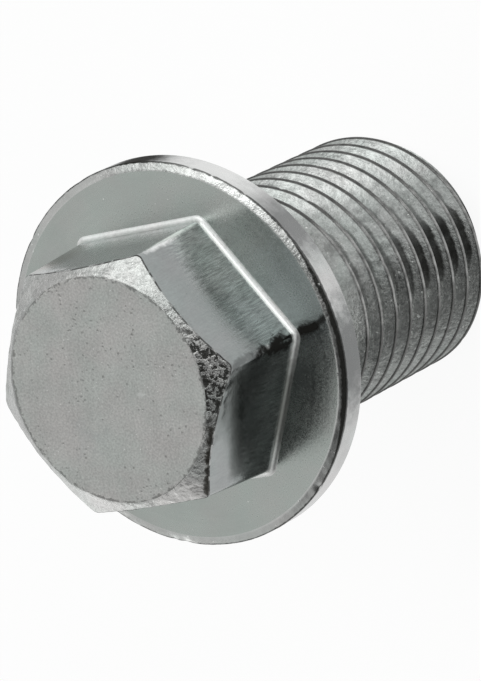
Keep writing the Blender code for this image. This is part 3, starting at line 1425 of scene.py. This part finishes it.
@dataclass
class ThreadedStud:
    """Plain neck and right-hand fine thread, cut by a swept groove."""

    length: float = FLANGE_BACK
    neck_length: float = 5.6 * MM
    neck_clearance: float = 0.10 * MM
    neck_fillet: float = 0.40 * MM
    neck_shoulder: float = radians(30.0)
    diameter: float = 14.0 * MM
    pitch: float = 1.5 * MM
    flank: float = radians(30.0)
    crest_share: float = 1 / 8
    root_share: float = 1 / 6
    crest_edge: float = 0.09 * MM
    root_edge: float = 0.08 * MM
    start: float = radians(20.0)
    end_chamfer: float = radians(45.0)
    end_edge: float = 0.08 * MM
    end_turn: Pair = (40.0, -90.0)
    end_skin: float = 0.02 * MM
    end_depth: float = 0.30 * MM
    neck_shares: tuple[float, ...] = (0.05, 0.5, 0.97, 1.0)
    neck_margin: float = 0.05 * MM
    crest_turn: Pair = (104.0, 150.0)
    root_turn: Pair = (-30.0, -90.0)
    segments: int = 288
    waves: Ripple = Ripple(1.1, 41.0, 0.006)
    mouth_clearance: float = 0.25 * MM
    nicks: int = 70
    nick_seed: int = 31
    nick_start: float = 0.8 * MM
    nick_width: Pair = (0.10, 0.28)
    nick_depth: Pair = (0.02, 0.07)
    nick_height: float = 0.35 * MM
    finishes: tuple[ZincFinish, ...] = (NECK, THREAD, END)

    @property
    def crest_radius(self) -> float:
        """Radius over the crests."""
        return self.diameter / 2

    @property
    def root_radius(self) -> float:
        """Radius at the roots."""
        depth = self.pitch * (1 - self.crest_share - self.root_share) / 2 / tan(self.flank)
        return self.crest_radius - depth

    @property
    def neck_radius(self) -> float:
        """Radius of the neck."""
        return self.root_radius - self.neck_clearance

    @property
    def thread_top(self) -> float:
        """Height at which the shoulder of the thread starts."""
        return self.length - self.neck_length

    def blank(self) -> bpy.types.Mesh:
        """Turn the blank of the stud.

        Returns:
            A closed mesh from inside the flange to the end face.
        """
        neck, crest, soft = self.neck_radius, self.crest_radius, self.end_edge
        rise = crest - neck
        foot = (neck + self.neck_fillet, self.length - self.neck_fillet)
        outline = [(foot[0] * share, self.length + SUNK) for share in (0.5, 1.0)]
        outline += arc(foot, self.neck_fillet, 90.0, 180.0, 8)
        outline += [(neck, foot[1] + share * (self.thread_top - foot[1]))
                    for share in self.neck_shares]
        outline += [
            (crest, self.thread_top - rise * tan(self.neck_shoulder)),
            (crest, rise * tan(self.end_chamfer)),
            *arc((neck - soft * 0.5, soft), soft, *self.end_turn, 4),
            (neck * 0.5, 0.0),
        ]
        loft = RingLoft(full_turn(self.segments))
        for radius, height in outline:
            loft.ring(radius, height, StudZone.NECK)
        return loft.mesh("threaded_stud")

    def groove_section(self) -> list[Pair]:
        """Section of the groove, with rounded crest edges and root corners.

        Returns:
            Points (along the axis, radius) from the mouth on one side to that on the other.
        """
        root_half = self.pitch * self.root_share / 2
        mouth_half = root_half + (self.crest_radius - self.root_radius) * tan(self.flank)
        inset = tan(self.flank)
        crest_centre = (mouth_half + self.crest_edge * inset, self.crest_radius - self.crest_edge)
        root_centre = (root_half - self.root_edge * inset, self.root_radius + self.root_edge)
        mouth = arc(crest_centre, self.crest_edge, *self.crest_turn, 4)
        half = [(mouth[0][0], self.crest_radius + self.mouth_clearance), *mouth]
        half += arc(root_centre, self.root_edge, *self.root_turn, 4)
        return half + [(-along, radius) for along, radius in reversed(half)]

    def groove(self) -> bpy.types.Mesh:
        """Sweep the groove along its helix, past both ends of the thread.

        Returns:
            A closed mesh.
        """
        along, radius = np.array(self.groove_section()).T
        reach, count = along.max(), len(along)
        steps = ceil((self.thread_top + 2 * reach) / self.pitch * self.segments)
        turn = np.arange(steps + 1)[:, None] / self.segments
        azimuth = self.start + 2 * pi * turn
        places = np.stack([
            np.cos(azimuth) * radius, np.sin(azimuth) * radius,
            self.pitch * turn - reach + along], axis=2).reshape(-1, 3)
        pairs = [(point, (point + 1) % count) for point in range(count)]
        faces: list[tuple[int, ...]] = [tuple(range(count))]
        for here in range(0, steps * count, count):
            after = here + count
            faces += [(here + point, after + point, after + other, here + other)
                      for point, other in pairs]
        faces.append(tuple(steps * count + point for point in reversed(range(count))))
        mesh = bpy.data.meshes.new("thread_groove")
        mesh.from_pydata(places.tolist(), [], faces)
        mesh.update()
        return mesh

    def cut(self, blank: bpy.types.Mesh, groove: bpy.types.Mesh) -> bpy.types.Mesh:
        """Cut the groove out of the blank.

        Args:
            blank: the turned stud.
            groove: the swept groove.

        Returns:
            The threaded stud.
        """
        stud, tool = put("blank", blank), put("groove", groove)
        boolean = stud.modifiers.new("cut", "BOOLEAN")
        boolean.operation = "DIFFERENCE"
        boolean.solver = "MANIFOLD"
        boolean.object = tool
        graph = bpy.context.evaluated_depsgraph_get()
        threaded = bpy.data.meshes.new_from_object(stud.evaluated_get(graph))
        for item in (stud, tool):
            bpy.data.objects.remove(item, do_unlink=True)
        for mesh in (blank, groove):
            bpy.data.meshes.remove(mesh)
        threaded.name = "threaded_stud"
        threaded.materials.clear()
        return threaded

    def zone_of(self, centre: Vector) -> StudZone:
        """The surface that a face lies on.

        Args:
            centre: the middle of the face.

        Returns:
            Its material slot.
        """
        inside = centre.xy.length < self.neck_radius
        if centre.z < self.end_skin or (centre.z < self.end_depth and inside):
            return StudZone.END
        on_neck = centre.z > self.thread_top - self.neck_margin
        return StudZone.NECK if on_neck else StudZone.THREAD

    def nick(self, mesh: bpy.types.Mesh) -> None:
        """Knock small nicks into the crests.

        Args:
            mesh: the threaded stud.
        """
        skin = Skin(mesh)
        drop = np.zeros_like(skin.reach)
        draws = Random(self.nick_seed)
        for _ in range(self.nicks):
            azimuth = draws.uniform(-pi, pi)
            height = draws.uniform(self.nick_start, self.thread_top)
            width = draws.uniform(*self.nick_width) * MM
            depth = draws.uniform(*self.nick_depth) * MM
            across = (skin.height - height) / self.nick_height
            drop = np.maximum(drop, depth * skin.dent(azimuth, self.crest_radius, width, across))
        moved = skin.reach - drop + skin.rippled(self.waves)
        crest = skin.reach > self.crest_radius - self.crest_edge
        scale = np.where(crest, moved / np.maximum(skin.reach, MM), 1.0)
        skin.place(skin.places * np.stack([scale, scale, np.ones_like(scale)], axis=1))

    def build(self) -> bpy.types.Object:
        """Build and dress the stud.

        Returns:
            The piece.
        """
        mesh = self.cut(self.blank(), self.groove())
        slots = [self.zone_of(face.center) for face in mesh.polygons]
        mesh.polygons.foreach_set("material_index", slots)
        mesh.shade_smooth()
        self.nick(mesh)
        return finish_piece(mesh, self.finishes)


@dataclass
class DrainPlug:
    """The plug: head, flange and threaded stud."""

    head: HexagonHead = field(default_factory=HexagonHead)
    flange: Flange = field(default_factory=Flange)
    stud: ThreadedStud = field(default_factory=ThreadedStud)

    def build(self) -> list[bpy.types.Object]:
        """Build every piece, in order from the top."""
        return [part.build() for part in (self.head, self.flange, self.stud)]


@dataclass(frozen=True)
class Panel:
    """A soft panel of the studio, an oval in the sky. Angles are in degrees."""

    azimuth: float
    elevation: float
    half_width: float
    half_height: float
    level: float
    softness: float

    def mask(self, sheet: NodeSheet, direction: Wire) -> Wire:
        """How much of the panel a direction meets.

        Args:
            sheet: the world's sheet.
            direction: a unit vector.

        Returns:
            0 outside the panel and 1 inside it.
        """
        turn, lift = radians(self.azimuth), radians(self.elevation)
        centre = (cos(lift) * cos(turn), cos(lift) * sin(turn), sin(lift))
        across = (-sin(turn), cos(turn), 0.0)
        upward = (-sin(lift) * cos(turn), -sin(lift) * sin(turn), cos(lift))
        side = sheet.number("DOT_PRODUCT", direction, across) * (1 / sin(radians(self.half_width)))
        rise = sheet.number("DOT_PRODUCT", direction, upward) * (1 / sin(radians(self.half_height)))
        reach = sheet.math("SQRT", side * side + rise * rise)
        ahead = sheet.step(sheet.number("DOT_PRODUCT", direction, centre), 0.0, 0.1)
        return sheet.step(reach, 1.0 + self.softness, 1.0 - self.softness) * ahead


@dataclass
class Studio:
    """Pale floor, soft surroundings and the camera."""

    floor_radius: float = 4.0
    floor_drop: float = 0.01 * MM
    floor_colour: Colour = (0.86, 0.86, 0.86)
    floor_glow: float = 0.86
    floor_white: float = 1.06
    target: Point = (0.000202, -0.000814, 0.016047)
    distance: float = 0.26386
    azimuth: float = radians(13.944)
    elevation: float = radians(51.842)
    roll: float = radians(117.054)
    focal_pixels: float = 4850.8
    frame_height: int = 681
    sensor: float = 36.0
    clip: Pair = (0.01, 20.0)
    light: Colour = (0.985, 1.0, 0.99)
    sky: tuple[Pair, ...] = (
        (0.0, 0.74), (0.10, 0.58), (0.50, 0.60), (0.80, 0.70), (0.91, 0.55), (0.975, 0.12),
        (1.0, 0.03))
    panels: tuple[Panel, ...] = (
        Panel(110.0, 57.0, 20.0, 19.0, 1.80, 0.35),
        Panel(-143.0, 2.0, 17.0, 12.0, 1.60, 0.40),
        Panel(44.0, 19.0, 13.0, 13.0, 2.60, 0.30),
        Panel(-66.0, 54.0, 34.0, 24.0, 0.085, 0.35),
        Panel(-48.0, 68.0, 22.0, 16.0, 0.045, 0.30),
    )

    def floor_material(self) -> bpy.types.Material:
        """Paint the floor pale, and white where the camera or a reflection meets it.

        Returns:
            The material.
        """
        material = bpy.data.materials.new("pale_floor")
        material.use_nodes = True
        sheet = NodeSheet(material.node_tree)
        camera_ray = sheet.add("ShaderNodeLightPath", output="Is Camera Ray")
        mirrored = camera_ray + camera_ray.output("Is Glossy Ray")
        seen = sheet.math("ADD", mirrored, camera_ray.output("Is Transmission Ray"), clamp=True)
        painted = sheet.add("ShaderNodeBsdfDiffuse", None, {"Color": opaque(self.floor_colour)})
        white = sheet.add("ShaderNodeEmission", None, {
            "Color": opaque((1.0, 1.0, 1.0)), "Strength": self.floor_white})
        both = sheet.add(
            "ShaderNodeMixShader", None, {0: seen * self.floor_glow, 1: painted, 2: white})
        sheet.add("ShaderNodeOutputMaterial", None, {"Surface": both})
        return material

    def floor(self) -> bpy.types.Object:
        """Lay the floor under the plug.

        Returns:
            The floor.
        """
        ring = [(self.floor_radius * cos(turn), self.floor_radius * sin(turn), 0.0)
                for turn in full_turn(96)]
        mesh = bpy.data.meshes.new("floor")
        mesh.from_pydata(ring, [], [tuple(range(len(ring)))])
        mesh.materials.append(self.floor_material())
        floor = put("floor", mesh)
        floor.location.z = -self.floor_drop
        return floor

    def surroundings(self) -> bpy.types.World:
        """Light the plug with soft panels and a sky that darkens upwards.

        Returns:
            The world.
        """
        world = bpy.data.worlds.new("soft_studio")
        world.use_nodes = True
        bpy.context.scene.world = world
        sheet = NodeSheet(world.node_tree)
        direction = sheet.vector("NORMALIZE", sheet.add("ShaderNodeTexCoord", output="Generated"))
        lift = sheet.add("ShaderNodeSeparateXYZ", None, {"Vector": direction}, "Z")
        level = sheet.add("ShaderNodeValToRGB", {"stops": self.sky}, {"Fac": lift})
        for panel in self.panels:
            level = level + panel.mask(sheet, direction) * (panel.level - level)
        background = sheet.add(
            "ShaderNodeBackground", None, {"Color": opaque(self.light), "Strength": level})
        sheet.add("ShaderNodeOutputWorld", None, {"Surface": background})
        return world

    def camera(self) -> bpy.types.Object:
        """Place the camera at the photograph's viewing angle.

        Returns:
            The camera.
        """
        data = bpy.data.cameras.new("camera")
        data.sensor_width = self.sensor
        data.lens = self.focal_pixels * self.sensor / self.frame_height
        data.clip_start, data.clip_end = self.clip
        camera = put("camera", data)
        level = cos(self.elevation)
        back = Vector((level * cos(self.azimuth), level * sin(self.azimuth), sin(self.elevation)))
        right = Vector((0.0, 0.0, 1.0)).cross(back).normalized()
        up = back.cross(right) * cos(self.roll) + right * sin(self.roll)
        turn = Matrix((up.cross(back), up, back)).transposed()
        place = Vector(self.target) + back * self.distance
        camera.matrix_world = Matrix.Translation(place) @ turn.to_4x4()
        bpy.context.scene.camera = camera
        bpy.context.scene.view_settings.view_transform = "Standard"
        return camera


def write_sizes() -> None:
    bpy.context.view_layer.update()


def main() -> None:
    """Build the plug and its studio, and report each piece."""
    logging.basicConfig(level=logging.INFO, format="%(message)s")
    for piece in DrainPlug().build():
        LOG.info("%s: %d faces", piece.name, len(piece.data.polygons))
    studio = Studio()
    for item in (studio.floor(), studio.surroundings(), studio.camera()):
        LOG.info("%s is set", item.name)
    write_sizes()


if __name__ == "__main__":
    main()
